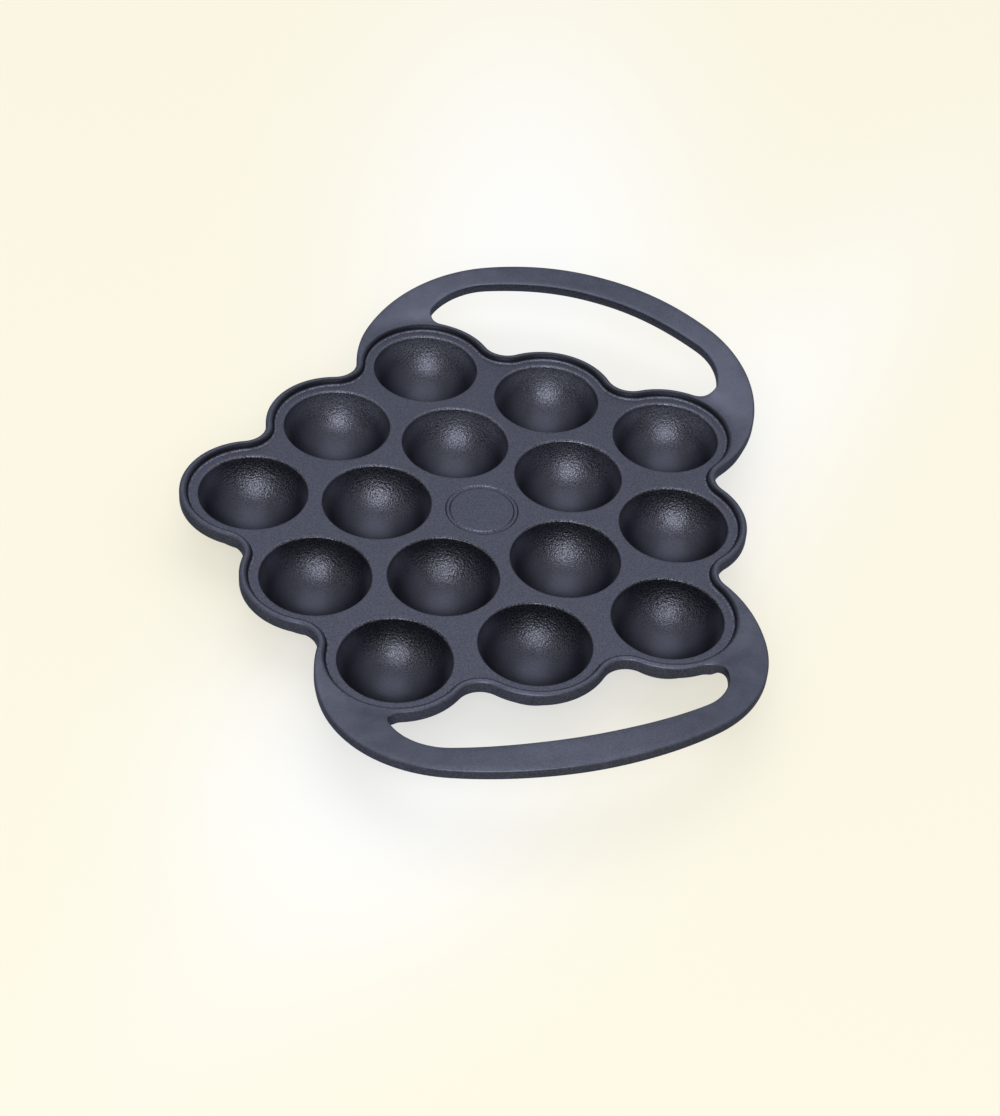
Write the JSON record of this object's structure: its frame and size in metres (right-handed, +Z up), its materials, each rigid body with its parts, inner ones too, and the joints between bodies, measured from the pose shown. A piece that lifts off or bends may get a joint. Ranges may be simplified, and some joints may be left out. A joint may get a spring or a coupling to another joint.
{
  "type": "paniyaram pan",
  "caption": "Cast iron paniyaram pan with round dimples in a five-sided pattern inside a lobed rim and two raised bow handles.",
  "frame": {"origin": "middle of the pan's whole outline seen from above, at the level of the flat feet under the cups", "axes": "+Z up out of the cups; +Y towards one of the two handles, along the pan's longest side; +X across, away from the one corner lobe that stands free between the two handles"},
  "size_m": [0.261, 0.3362, 0.0399],
  "materials": {
    "seasoned_iron": "dark seasoned cast iron, satin on the plate, rim and handles and grainy in the cups"
  },
  "bodies": {
    "root": {"pan": "seasoned_iron"}
  },
  "joints": []
}
